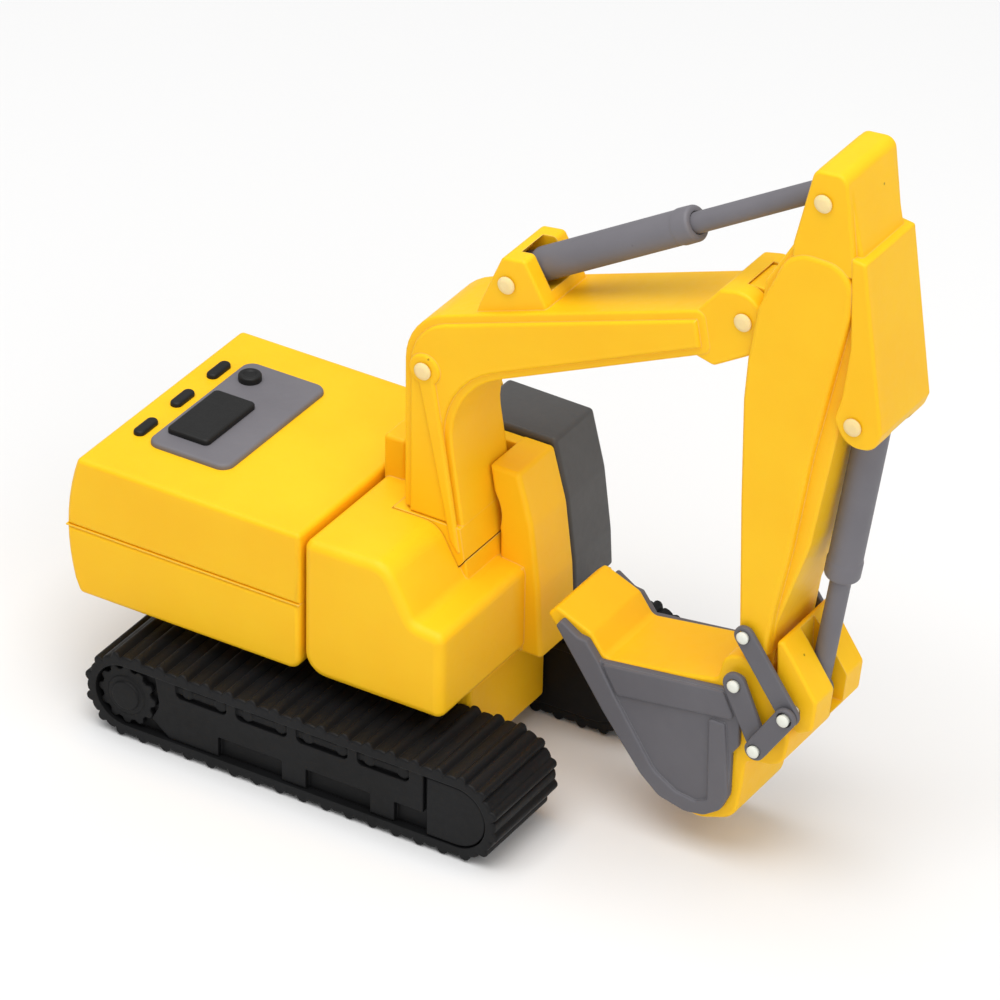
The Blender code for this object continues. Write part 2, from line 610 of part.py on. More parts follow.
def make_bucket():
    shell = [(19.3, 18.7), (20.1, 19.5), (23.4, 18.2), (24.2, 17.6), (25.0, 16.3),
             (33.0, 17.4), (36.0, 18.0)]
    shell += arc(P_BUCKET, 2.25, 165.0, 30.0, 8)
    shell += arc(P_EAR, 2.3, 20.0, -100.0, 6)
    shell += [(38.8, 10.7), (38.6, 8.2), (38.1, 5.6), (36.8, 4.1), (35.0, 3.6),
              (32.0, 3.8), (30.8, 4.4), (27.3, 8.3), (25.2, 11.1), (20.5, 18.0)]
    bucket = prism(shell, -ARM_HALF - 0.1, ARM_HALF + 0.1)
    soften(bucket, 0.25, angle=50.0)
    mouth = [(21.4, 14.0), (22.6, 16.9), (23.7, 16.3), (24.6, 14.9), (35.2, 16.1),
             (37.4, 11.2), (37.3, 8.4), (36.8, 6.2), (35.8, 5.2), (33.4, 4.9),
             (32.0, 1.0), (26.0, 6.0)]
    cut(bucket, prism(mouth, -3.1, 3.1))
    cut(bucket, prism(capsule_points((37.6, 22.5), P_BUCKET, 2.3, 2.6), -2.2, 2.2))
    for centre in (P_BUCKET, P_EAR):
        cut(bucket, rod_y(centre, 0.7, -9.0, 9.0, 12))
    finish(bucket, "bucket", "yellow", at(P_BUCKET))
    side_plate = [(20.5, 18.0), (21.0, 18.5), (23.9, 17.1), (24.8, 15.7), (36.7, 16.9),
                  (38.3, 15.1), (38.3, 12.2), (37.5, 10.8), (37.6, 6.5), (36.4, 4.8),
                  (35.0, 4.1), (31.2, 4.6), (27.5, 8.5), (25.4, 11.3)]
    for sign, side in ((1, "left"), (-1, "right")):
        cheek = plate(side_plate, sign * (ARM_HALF + 0.25), sign * (ARM_HALF + 0.9), 0.9, 0.25)
        finish(cheek, "bucket_side_plate_" + side, "grey", at(P_BUCKET))


def make_arm():
    make_boom()
    make_stick()
    make_cylinder("stick", STICK_CYL_BASE, STICK_CYL_EYE, 18.6, 9.2)
    make_cylinder("bucket", BUCKET_CYL_BASE, P_KNUCKLE, 17.6, 8.6)
    make_linkage()
    make_bucket()
    make_pin("knee_pin", KNEE, ARM_HALF + PANEL_UP + 0.3, 0.85)
    make_pin("stick_cylinder_base_pin", STICK_CYL_BASE, 3.3, 0.85)
    make_pin("stick_pivot_pin", STICK_PIVOT, 3.85, 0.85)
    make_pin("stick_cylinder_eye_pin", STICK_CYL_EYE, ARM_HALF + 0.1, 0.85)
    make_pin("bucket_cylinder_base_pin", BUCKET_CYL_BASE, ARM_HALF + 0.2, 0.85)
    make_pin("rocker_pin", P_ROCKER, ARM_HALF + 1.15, 0.62)
    make_pin("bucket_pivot_pin", P_BUCKET, ARM_HALF + 1.15, 0.62)
    make_pin("knuckle_pin", P_KNUCKLE, ARM_HALF + 1.8, 0.62)
    make_pin("ear_pin", P_EAR, ARM_HALF + 1.8, 0.62)


def main():
    global ROOT
    clear_scene()
    ROOT = bpy.data.objects.new("model_origin", None)
    bpy.context.scene.collection.objects.link(ROOT)
    ROOT.location = (-X_MID * MM, 0.0, 0.0)
    make_undercarriage()
    make_cap()
    make_front()
    make_plug()
    make_arm()


main()
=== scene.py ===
"""Looks of a miniature tracked excavator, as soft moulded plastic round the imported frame.

Lengths are millimetres in the model's own frame: x = 0 is the joint between the engine
house and the house front, y = 0 is the middle of the arm and z = 0 is the ground.
"""
import json
import math
from collections import namedtuple

import bmesh
import bpy
from mathutils import Matrix, Vector


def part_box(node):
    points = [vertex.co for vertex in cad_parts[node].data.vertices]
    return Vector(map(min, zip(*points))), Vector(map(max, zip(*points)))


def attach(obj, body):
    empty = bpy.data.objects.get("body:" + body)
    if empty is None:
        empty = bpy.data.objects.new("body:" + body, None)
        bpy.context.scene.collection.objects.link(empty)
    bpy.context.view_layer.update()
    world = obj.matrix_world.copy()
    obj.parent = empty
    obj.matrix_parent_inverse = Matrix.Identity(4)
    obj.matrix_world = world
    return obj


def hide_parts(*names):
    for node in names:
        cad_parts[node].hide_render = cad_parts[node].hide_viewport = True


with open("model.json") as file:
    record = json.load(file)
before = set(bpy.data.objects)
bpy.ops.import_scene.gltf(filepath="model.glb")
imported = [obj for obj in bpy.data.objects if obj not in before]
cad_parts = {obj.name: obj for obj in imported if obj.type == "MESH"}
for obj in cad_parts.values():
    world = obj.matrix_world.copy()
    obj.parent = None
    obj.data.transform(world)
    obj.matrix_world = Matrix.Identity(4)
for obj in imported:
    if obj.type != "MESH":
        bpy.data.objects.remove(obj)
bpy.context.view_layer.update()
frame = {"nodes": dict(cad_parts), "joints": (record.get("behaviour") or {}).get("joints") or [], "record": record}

MM = 0.001
RIM_STEPS = 4          # facets in the quarter round of a rim
ARC_STEP = 9.0         # degrees turned by one side of an arc
TURNED_SIDES = 40
BORE_SIDES = 24
SMOOTH_ANGLE = 38.0    # degrees; a sharper edge stays sharp in the shading
ROUND_END = 0.999      # a full round end, less a trace so that no side has zero length
ACROSS, UP = (0, 1, 0), (0, 0, 1)


# ---------------------------------------------------------------- what the frame says
def row_box(node):
    low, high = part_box(node)
    return [c / MM for pair in zip(low, high) for c in pair]


SPLIT_X = (row_box("engine_house_upper")[1] + row_box("house_front")[0]) / 2


def box_of(node):
    """x0, x1, y0, y1, z0, z1 of a CAD node in the model's own frame."""
    x0, x1, y0, y1, z0, z1 = row_box(node)
    return x0 - SPLIT_X, x1 - SPLIT_X, y0, y1, z0, z1


def centre_of(node):
    x0, x1, _, _, z0, z1 = box_of(node)
    return (x0 + x1) / 2, (z0 + z1) / 2


def pivot(joint):
    found = next(j for j in frame["joints"] if j["name"] == joint)
    return found["pos_m"][0] / MM - SPLIT_X, found["pos_m"][2] / MM


FOOT = pivot("boom_pivot")
STICK_PIVOT = pivot("stick_pivot")
STICK_CYL_BASE = pivot("stick_cylinder_swing")
BUCKET_CYL_BASE = pivot("bucket_cylinder_swing")
BUCKET_PIVOT = pivot("bucket_pivot")
ROCKER_PIVOT = pivot("rocker_swing")
EAR = pivot("push_link_swing")
KNEE = centre_of("knee_pin")
STICK_CYL_EYE = centre_of("stick_cylinder_eye_pin")
KNUCKLE = centre_of("knuckle_pin")

HOUSE_HALF = box_of("engine_house_upper")[3]
ROOF_Z = box_of("engine_house_upper")[5]
HOUSE_BOTTOM = box_of("engine_house_lower")[4]
SEAM_Z = (box_of("engine_house_upper")[4] + box_of("engine_house_lower")[5]) / 2
CAP_REAR = box_of("engine_house_upper")[0]
FRONT_GAP = box_of("house_front")[0]
ARM_HALF = 4.0         # half the width of the boom and the stick
PANEL_UP = 0.4         # the raised panels on their sides
PANEL_HALF = ARM_HALF + PANEL_UP
FOOT_RADIUS = 3.9      # the boom's foot turns in a round pocket of the house front
FOOT_HALF = 4.52
FOOT_PLAY = 0.08
FOOT_SIDES = 72
PIN_SHANK = 0.5
BORE = 0.6             # round a pin's shank
LOOSE_BORE = 0.72      # where a link closes a loop and floats a little on its pin


# ---------------------------------------------------------------- outlines
def rounded(corners, closed=True):
    """An outline whose corners (u, v, radius) are turned through arcs."""
    points = []
    last = len(corners) - 1
    for i, corner in enumerate(corners):
        p = Vector(corner[:2])
        radius = corner[2] if len(corner) > 2 else 0.0
        if radius <= 0.0 or (not closed and i in (0, last)):
            points.append(p)
            continue
        back = Vector(corners[i - 1][:2]) - p
        ahead = Vector(corners[(i + 1) % len(corners)][:2]) - p
        half = back.angle(ahead) / 2
        if half > math.pi / 2 - 0.01:
            points.append(p)
            continue
        reach = min(radius / math.tan(half), back.length / 2, ahead.length / 2)
        radius = reach * math.tan(half)
        start = p + back.normalized() * reach
        middle = p + (back.normalized() + ahead.normalized()).normalized() * (
            radius / math.sin(half))
        spoke = start - middle
        turn = math.pi - 2 * half
        if back.x * ahead.y - back.y * ahead.x > 0:
            turn = -turn
        count = max(2, round(math.degrees(abs(turn)) / ARC_STEP))
        for k in range(count + 1):
            points.append(middle + Matrix.Rotation(turn * k / count, 2) @ spoke)
    return points


def moved_in(corners, depth):
    """The outline offset inwards, with its arcs kept concentric."""
    flat = [Vector(c[:2]) for c in corners]
    n = len(flat)
    area = sum(a.x * b.y - a.y * b.x for a, b in zip(flat, flat[1:] + flat[:1]))
    side = 1.0 if area > 0 else -1.0
    runs = []
    for a, b in zip(flat, flat[1:] + flat[:1]):
        along = (b - a).normalized()
        runs.append((a + Vector((-along.y, along.x)) * side * depth, along))
    out = []
    for i in range(n):
        (p, d), (q, e) = runs[i - 1], runs[i]
        cross = d.x * e.y - d.y * e.x
        radius = corners[i][2] if len(corners[i]) > 2 else 0.0
        if abs(cross) < 1e-4:
            out.append((q.x, q.y, radius))
            continue
        t = ((q.x - p.x) * e.y - (q.y - p.y) * e.x) / cross
        corner = p + d * t
        if radius > 0.0:
            radius = max(radius - depth, 0.02) if cross * side > 0 else radius + depth
        out.append((corner.x, corner.y, radius))
    return out


def capsule(p, q, rp, rq):
    """Two discs and the bar between them, as a four-cornered rounded outline."""
    a, b = Vector(p), Vector(q)
    along = (b - a).normalized()
    side = Vector((-along.y, along.x))
    corners = []
    for centre, radius, ahead, over in ((a, rp, -1, 1), (a, rp, -1, -1),
                                        (b, rq, 1, -1), (b, rq, 1, 1)):
        corner = centre + along * (ahead * radius) + side * (over * radius)
        corners.append((*corner, radius * ROUND_END))
    return corners


def rectangle(u0, u1, v0, v1, radius):
    return [(u0, v0, radius), (u1, v0, radius), (u1, v1, radius), (u0, v1, radius)]


# ---------------------------------------------------------------- solids
def to_object(bm, name="shape"):
    bmesh.ops.recalc_face_normals(bm, faces=bm.faces)
    mesh = bpy.data.meshes.new(name)
    bm.to_mesh(mesh)
    bm.free()
    ob = bpy.data.objects.new(name, mesh)
    bpy.context.scene.collection.objects.link(ob)
    return ob


def loft(loops):
    """A closed skin through loops of equal length, with both ends capped."""
    bm = bmesh.new()
    rings = [[bm.verts.new(p) for p in loop] for loop in loops]
    for a, b in zip(rings, rings[1:]):
        for i in range(len(a)):
            j = (i + 1) % len(a)
            bm.faces.new((a[i], a[j], b[j], b[i]))
    bm.faces.new(rings[0])
    bm.faces.new(rings[-1])
    return to_object(bm)


PLACE = {"y": lambda u, v, w: (u, w, v), "z": lambda u, v, w: (u, v, w),
         "x": lambda u, v, w: (w, u, v)}


def rim_levels(low, high, low_edge, high_edge):
    """(inset, height) pairs that round the rims of an extrusion."""
    quarter = [math.pi / 2 * k / RIM_STEPS for k in range(RIM_STEPS + 1)]
    levels = []
    if low_edge > 0.0:
        levels += [(low_edge * (1 - math.cos(t)), low + low_edge * (1 - math.sin(t)))
                   for t in reversed(quarter)]
    else:
        levels.append((0.0, low))
    if high_edge > 0.0:
        levels += [(high_edge * (1 - math.cos(t)), high - high_edge * (1 - math.sin(t)))
                   for t in quarter]
    else:
        levels.append((0.0, high))
    return levels


def slab(corners, low, high, edge=0.25, axis="y", low_edge=None):
    """An outline extruded along an axis, with rounded rims."""
    low_edge = edge if low_edge is None else low_edge
    loops = []
    for inset, height in rim_levels(low, high, low_edge, edge):
        ring = rounded(moved_in(corners, inset)) if inset > 1e-9 else rounded(corners)
        loops.append([PLACE[axis](p.x, p.y, height) for p in ring])
    return loft(loops)


def turned(origin, direction, profile, sides=TURNED_SIDES):
    """A turned solid: profile corners (distance along, radius, fillet) from axis to axis."""
    origin, axis = Vector(origin), Vector(direction).normalized()
    side = axis.orthogonal().normalized()
    other = axis.cross(side)
    bm = bmesh.new()
    rings = []
    for p in rounded(profile, closed=False):
        if p.y < 1e-6:
            rings.append([bm.verts.new(origin + axis * p.x)])
            continue
        rings.append([bm.verts.new(origin + axis * p.x + p.y * (
            side * math.cos(math.tau * i / sides) + other * math.sin(math.tau * i / sides)))
            for i in range(sides)])
    for a, b in zip(rings, rings[1:]):
        for i in range(sides):
            j = (i + 1) % sides
            corners = (a[i % len(a)], a[j % len(a)], b[j % len(b)], b[i % len(b)])
            distinct = list(dict.fromkeys(corners))
            if len(distinct) > 2:
                bm.faces.new(distinct)
    return to_object(bm)


def disc_y(centre, radius, y0, y1, edge=0.0, sides=TURNED_SIDES):
    return turned((centre[0], 0.0, centre[1]), ACROSS,
                  [(y0, 0.0), (y0, radius, edge), (y1, radius, edge), (y1, 0.0)], sides)


def upright(x, z, radius, height):
    """A plain upright cylinder on y = 0, used as a cutter."""
    return turned((x, 0.0, z), UP, [(0.0, 0.0), (0.0, radius), (height, radius), (height, 0.0)])


def combine(target, others, operation):
    for other in others:
        mod = target.modifiers.new("bool", "BOOLEAN")
        mod.operation, mod.solver, mod.object = operation, "EXACT", other
        bpy.context.view_layer.update()
        graph = bpy.context.evaluated_depsgraph_get()
        mesh = bpy.data.meshes.new_from_object(target.evaluated_get(graph))
        target.modifiers.clear()
        target.data = mesh
        bpy.data.objects.remove(other, do_unlink=True)
    return target


def union(target, *others):
    return combine(target, others, "UNION")


def cut(target, *others):
    return combine(target, others, "DIFFERENCE")


def bore(target, centre, radius, half=9.0):
    return cut(target, disc_y(centre, radius, -half, half, sides=BORE_SIDES))


def span(sign, near, far):
    """The y range between two distances from the middle, on one side."""
    return sorted((sign * near, sign * far))


def both_ways(half):
    return -half, half


# ---------------------------------------------------------------- finishes
def add(tree, kind, inputs=None, **settings):
    node = tree.nodes.new(kind)
    for key, value in settings.items():
        setattr(node, key, value)
    for key, value in (inputs or {}).items():
        if isinstance(value, bpy.types.NodeSocket):
            tree.links.new(value, node.inputs[key])
        else:
            node.inputs[key].default_value = value
    return node


MIX_FACTOR, MIX_A, MIX_B, MIX_RESULT = 0, 6, 7, 2      # the colour sockets of a Mix node
CLOUD_SCALE = 90.0     # these three are per metre
GRAIN_SCALE = 1400.0
SPECK_CELLS = 230.0
DIRT_SHADE = 0.25      # a speck's colour, as a share of the plastic's
SKIN_DEPTH = 0.0009    # metres that light travels under the surface
SKIN_TINT = (1.0, 0.5, 0.1)


def blend_colour(tree, factor, a, b):
    """A colour mix; a and b may be colours or sockets."""
    node = add(tree, "ShaderNodeMix", {MIX_FACTOR: factor, MIX_A: a, MIX_B: b},
               data_type="RGBA")
    return node.outputs[MIX_RESULT]


def to_range(tree, value, low, high, new_low, new_high):
    node = add(tree, "ShaderNodeMapRange", {"Value": value, "From Min": low, "From Max": high,
                                            "To Min": new_low, "To Max": new_high})
    return node.outputs["Result"]


def paint_edge_highlight(tree, base, normal, colour, strength):
    """Paint a highlight: lighten the base where the rounded normal turns away from the flat one, as light caught
    along the rims.
    """
    flat = add(tree, "ShaderNodeNewGeometry").outputs["Normal"]
    match = add(tree, "ShaderNodeVectorMath", {0: normal, 1: flat}, operation="DOT_PRODUCT")
    # edge masks the painted highlight along convex and concave edges
    edge = to_range(tree, match.outputs["Value"], 0.99, 0.8, 0.0, strength)
    highlight_colour = tuple(c + (1.0 - c) * 0.5 for c in colour)
    return blend_colour(tree, edge, base, (*highlight_colour, 1.0))


def specked(tree, base, place, colour, strength):
    """A few specks of dust caught in the plastic, in a random share of the cells."""
    cells = add(tree, "ShaderNodeTexVoronoi", {"Vector": place, "Scale": SPECK_CELLS})
    split = add(tree, "ShaderNodeSeparateColor", {"Color": cells.outputs["Color"]})
    chosen = to_range(tree, split.outputs["Red"], 0.66, 0.68, 0.0, 1.0)
    near = to_range(tree, cells.outputs["Distance"], 0.016, 0.034, strength, 0.0)
    dust = add(tree, "ShaderNodeMath", {0: chosen, 1: near}, operation="MULTIPLY")
    dirt = tuple(c * DIRT_SHADE for c in colour)
    return blend_colour(tree, dust.outputs[0], base, (*dirt, 1.0))


def moulded(name, colour, deep, roughness, specks=0.0, painted_edge_highlight=0.0, grain=0.00002,
            glow=0.0, soften=0.00018, metallic=0.0, sheen=0.3):
    """Soft moulded plastic: cloudy colour, stray specks, a painted highlight along the edges and a fine satin
    grain.
    """
    mat = bpy.data.materials.new(name)
    mat.use_nodes = True
    tree = mat.node_tree
    bsdf = tree.nodes["Principled BSDF"]
    place = add(tree, "ShaderNodeTexCoord").outputs["Object"]
    cloud = add(tree, "ShaderNodeTexNoise", {"Vector": place, "Scale": CLOUD_SCALE, "Detail": 4.0,
                                             "Roughness": 0.55}).outputs["Fac"]
    fine = add(tree, "ShaderNodeTexNoise", {"Vector": place, "Scale": GRAIN_SCALE, "Detail": 5.0,
                                            "Roughness": 0.6}).outputs["Fac"]
    shade = to_range(tree, cloud, 0.35, 0.65, 0.0, 1.0)
    base = blend_colour(tree, shade, (*deep, 1.0), (*colour, 1.0))
    soft_normal = add(tree, "ShaderNodeBevel", {"Radius": soften}, samples=6).outputs["Normal"]
    # the lighter edges are a painted highlight, not a colour of the plastic
    if painted_edge_highlight:
        base = paint_edge_highlight(tree, base, soft_normal, colour, painted_edge_highlight)
    if specks:
        base = specked(tree, base, place, colour, specks)
    tree.links.new(base, bsdf.inputs["Base Color"])
    rough = to_range(tree, fine, 0.3, 0.7, roughness - 0.05, roughness + 0.07)
    tree.links.new(rough, bsdf.inputs["Roughness"])
    bump = add(tree, "ShaderNodeBump", {"Strength": 0.6, "Distance": grain, "Height": fine,
                                        "Normal": soft_normal})
    tree.links.new(bump.outputs["Normal"], bsdf.inputs["Normal"])
    bsdf.inputs["Metallic"].default_value = metallic
    bsdf.inputs["Specular IOR Level"].default_value = sheen
    if glow:
        bsdf.inputs["Subsurface Weight"].default_value = glow
        bsdf.inputs["Subsurface Radius"].default_value = SKIN_TINT
        bsdf.inputs["Subsurface Scale"].default_value = SKIN_DEPTH
    return mat


# the edge strength given to a finish sets how much highlight is painted on its edges
FINISH = {
    "yellow_pvc": moulded("yellow_pvc", (0.95, 0.545, 0.010), (0.93, 0.505, 0.007), 0.46,
                          specks=0.8, painted_edge_highlight=0.22, glow=0.12, sheen=0.22),
    "grey_pvc": moulded("grey_pvc", (0.165, 0.158, 0.174), (0.142, 0.136, 0.150), 0.50,
                        specks=0.3, painted_edge_highlight=0.12),
    "plate_grey_pvc": moulded("plate_grey_pvc", (0.130, 0.126, 0.140), (0.112, 0.108, 0.120),
                              0.50, specks=0.3, painted_edge_highlight=0.14),
    "cab_glass_pvc": moulded("cab_glass_pvc", (0.078, 0.077, 0.077), (0.066, 0.065, 0.065), 0.42,
                             painted_edge_highlight=0.12),
    "black_pvc": moulded("black_pvc", (0.0085, 0.0088, 0.0098), (0.0060, 0.0060, 0.0062), 0.48,
                         painted_edge_highlight=0.015, grain=0.00004, sheen=0.16),
    "hatch_black_pvc": moulded("hatch_black_pvc", (0.013, 0.013, 0.013), (0.009, 0.009, 0.009),
                               0.48, painted_edge_highlight=0.03, grain=0.00004, sheen=0.25),
    "ivory_pin": moulded("ivory_pin", (0.88, 0.70, 0.36), (0.84, 0.63, 0.28), 0.40, glow=0.1),
    "white_pin": moulded("white_pin", (0.80, 0.80, 0.72), (0.72, 0.74, 0.66), 0.40),
    "plug_steel": moulded("plug_steel", (0.66, 0.66, 0.67), (0.61, 0.61, 0.63), 0.30,
                          metallic=1.0, grain=0.0000004, soften=0.00008),
    "tongue_plastic": moulded("tongue_plastic", (0.82, 0.82, 0.80), (0.76, 0.76, 0.74), 0.35),
    "board_green": moulded("board_green", (0.02, 0.17, 0.06), (0.015, 0.13, 0.045), 0.35),
    "chip_black": moulded("chip_black", (0.022, 0.022, 0.024), (0.016, 0.016, 0.017), 0.5),
}


def piece(ob, body, finish, *nodes):
    """Bring a shape to metres and let it stand for CAD nodes on their body."""
    ob.name = ob.data.name = nodes[0] + "_fine"
    ob.data.transform(Matrix.Scale(MM, 4) @ Matrix.Translation((SPLIT_X, 0.0, 0.0)))
    ob.data.materials.clear()
    ob.data.materials.append(FINISH[finish])
    ob.data.shade_smooth()
    ob.data.set_sharp_from_angle(angle=math.radians(SMOOTH_ANGLE))
    normals = ob.modifiers.new("normals", "WEIGHTED_NORMAL")
    normals.keep_sharp = True
    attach(ob, body)
    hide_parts(*nodes)
    return ob


# ---------------------------------------------------------------- tracks
GROUSERS = 40
# one shoe of the belt: (share of the pitch, depth below the tips)
SHOE = ((0.00, 0.42), (0.06, 0.34), (0.22, 0.29), (0.40, 0.33), (0.46, 0.42),
        (0.50, 0.56), (0.54, 0.42), (0.60, 0.17), (0.67, 0.04), (0.75, 0.00),
        (0.83, 0.03), (0.90, 0.14), (0.95, 0.30))
BELT_EDGE = 0.22
RING = 1.25            # flat ring round the side of the belt
PLATE_DROP = 0.35      # frame plate below the belt's side
FLOOR_DROP = 0.90      # bottom of the recesses
PLATE_END = 3.4        # from the idler's axis back to the end of the plate
WINDOWS = 4            # openings over the upper rollers
WINDOW_PITCH = 6.2
WINDOW_LENGTH = 5.3
NOTCHES = 3            # cut into the lower edge of the plate
NOTCH_PITCH = 9.0
NOTCH_LENGTH = 6.6
ROLLERS_IN_WINDOW = (1.15, 4.55)
ROLLER_RADIUS = 0.62
TEETH = 12
TOOTH_DEPTH = 0.42
SPROCKET_RADIUS = 2.97

# one track: the wheels' axes (rear, front, mid), the belt's radius over its tips, its
# distances from the middle (inner, outer), the radius of the hole inside its ring, and the
# frame's top, bottom and two distances from the middle (floor, face)
Track = namedtuple("Track", "side sign rear front mid radius inner outer hole top bottom "
                            "floor face")


def measured_track(side, sign):
    x0, x1, y0, y1, z0, z1 = box_of("track_belt_" + side)
    radius, mid = (z1 - z0) / 2, (z0 + z1) / 2
    inner, outer = sorted((abs(y0), abs(y1)))
    hole = radius - RING
    return Track(side=side, sign=sign, rear=x0 + radius, front=x1 - radius, mid=mid,
                 radius=radius, inner=inner, outer=outer, hole=hole,
                 top=mid + hole - 0.04, bottom=mid - hole + 0.04,
                 floor=outer - FLOOR_DROP, face=outer - PLATE_DROP)


def belt_loop(track, shrink):
    """The belt's outline: shoes laid along two straights and two half turns."""
    rear, front, mid, radius = track.rear, track.front, track.mid, track.radius
    straight = front - rear
    turn = math.pi * radius
    total = 2 * (straight + turn)
    points = []
    for k in range(GROUSERS):
        for share, depth in SHOE:
            s = (k + share) * total / GROUSERS
            r = radius - depth - shrink
            if s < straight:
                points.append((rear + s, mid - r))
            elif s < straight + turn:
                t = (s - straight) / radius - math.pi / 2
                points.append((front + r * math.cos(t), mid + r * math.sin(t)))
            elif s < 2 * straight + turn:
                points.append((front - (s - straight - turn), mid + r))
            else:
                t = (s - 2 * straight - turn) / radius + math.pi / 2
                points.append((rear + r * math.cos(t), mid + r * math.sin(t)))
    return points


def stadium(track, radius):
    """Corners of a round-ended outline round both wheels."""
    return rectangle(track.rear - radius, track.front + radius,
                     track.mid - radius, track.mid + radius, radius * ROUND_END)


def toothed(centre, radius):
    """A toothed outline: a cosine whose crests and troughs are cut flat."""
    steps = TEETH * 12
    clip = 0.6
    points = []
    for i in range(steps):
        t = math.tau * i / steps
        wave = max(-clip, min(clip, math.cos(TEETH * t))) / clip
        r = radius - TOOTH_DEPTH / 2 + TOOTH_DEPTH / 2 * wave
        points.append((centre[0] + r * math.cos(t), centre[1] + r * math.sin(t)))
    return points


def make_belt(track):
    low, high = span(track.sign, track.inner, track.outer)
    belt = loft([[(x, y, z) for x, z in belt_loop(track, shrink)]
                 for shrink, y in rim_levels(low, high, BELT_EDGE, BELT_EDGE)])
    cut(belt, slab(stadium(track, track.hole), low - 1, high + 1, 0.0))
    piece(belt, "undercarriage", "black_pvc", "track_belt_" + track.side)


def frame_plate(track, window_starts):
    """The plate between the wheels, with its windows and notches cut through."""
    rear, bottom, top = track.rear, track.bottom, track.top
    end = track.front - PLATE_END
    plate = slab([(rear + 2.6, bottom + 1.5, 0.3), (rear + 4.4, bottom, 0.3),
                  (end, bottom, 0.1), (end, top, 0.3),
                  (rear + 2.9, top, 0.3), (rear + 3.4, track.mid, 1.5)],
                 *span(track.sign, track.floor - 0.4, track.face), 0.12)
    through = span(track.sign, track.floor, track.outer + 1.0)
    for x in window_starts:
        cut(plate, slab(rectangle(x, x + WINDOW_LENGTH, top - 1.5, top + 0.6, 0.55),
                        *through, 0.0))
    for k in range(NOTCHES):
        x = rear + 9.5 + k * NOTCH_PITCH
        cut(plate, slab(rectangle(x, x + NOTCH_LENGTH, bottom - 0.5, bottom + 2.05, 0.15),
                        *through, 0.0))
    return plate


def make_track_frame(track):
    sign, floor, top = track.sign, track.floor, track.top
    starts = [track.rear + 5.1 + k * WINDOW_PITCH for k in range(WINDOWS)]
    core = slab(stadium(track, track.hole - 0.02), *span(sign, track.inner, floor), 0.0)
    plate = frame_plate(track, starts)
    rollers = [disc_y((x + along, top - 0.78), ROLLER_RADIUS,
                      *span(sign, floor - 0.3, track.face - 0.15), 0.12, 20)
               for x in starts for along in ROLLERS_IN_WINDOW]
    bar = slab(rectangle(starts[0] - 0.3, starts[-1] + 5.6, top - 1.15, top - 0.4, 0.1),
               *span(sign, floor - 0.3, floor + 0.35), 0.1)
    union(core, plate, bar, *rollers)
    piece(core, "undercarriage", "black_pvc", "track_frame_" + track.side)


def make_sprocket(track):
    face = track.face
    low, high = span(track.sign, track.floor - 0.2, face)
    sprocket = loft([[(x, y, z) for x, z in toothed((track.rear, track.mid),
                                                    SPROCKET_RADIUS - shrink)]
                     for shrink, y in rim_levels(low, high, 0.1, 0.1)])
    hub = turned((track.rear, 0, track.mid), (0, track.sign, 0), [
        (face - 0.3, 0.0), (face - 0.3, 2.0, 0.1), (face + 0.12, 1.9, 0.15),
        (face + 0.12, 1.45, 0.05), (face + 0.32, 1.35, 0.1), (face + 0.32, 0.0)])
    union(sprocket, hub)
    piece(sprocket, "undercarriage", "black_pvc", "drive_sprocket_" + track.side)


def make_idler(track):
    radius = track.hole - 0.12
    start, end = track.front - PLATE_END + 0.5, track.front + radius
    low, high = track.mid - radius, track.mid + radius
    idler = slab([(start, low, 0.2), (end, low, radius * ROUND_END),
                  (end, high, radius * ROUND_END), (start, high, 0.2)],
                 *span(track.sign, track.floor - 0.2, track.face + 0.22), 0.15)
    piece(idler, "undercarriage", "black_pvc", "idler_wheel_" + track.side)


def make_undercarriage():
    x0, x1, y0, y1, z0, z1 = box_of("carbody")
    body = slab(rectangle(x0, x1, z0, z1, 0.5), y0, y1, 0.45)
    _, _, _, hub_radius, hub_bottom, _ = box_of("slew_hub")
    cut(body, upright(centre_of("slew_hub")[0], hub_bottom - 0.15, hub_radius + 0.15, 4.0))
    piece(body, "undercarriage", "yellow_pvc", "carbody")
    for side, sign in (("left", 1), ("right", -1)):
        track = measured_track(side, sign)
        make_belt(track)
        make_track_frame(track)
        make_sprocket(track)
        make_idler(track)


# ---------------------------------------------------------------- engine house
REAR_BULGE = 1.2       # the rear wall leans in this far from the seam to the roof
PLUG_PLAY = 0.3
SEAM_HALF = 0.02
FLASH = 0.02           # the bead that stands proud along the seam
PANEL_LIFT = 0.1       # the roof panel's face above the CAD's
SUNK = 0.3             # how far a fitting reaches down into the roof


def plug_slot():
    """Where the plug lies, with its play."""
    x0, _, y0, y1, z0, z1 = box_of("usb_plug_shell")
    return slab(rectangle(x0 - 1.5, 1.5, z0 - PLUG_PLAY, z1 + PLUG_PLAY, 0.2),
                y0 - PLUG_PLAY, y1 + PLUG_PLAY, 0.0)


def rear_wall(z_from, z_to, steps=5):
    """The rear wall bows out towards the seam."""
    reach = ROOF_Z - SEAM_Z
    points = []
    for k in range(1, steps):
        z = z_from + (z_to - z_from) * k / steps
        points.append((CAP_REAR + REAR_BULGE * ((z - SEAM_Z) / reach) ** 2, z))
    return points


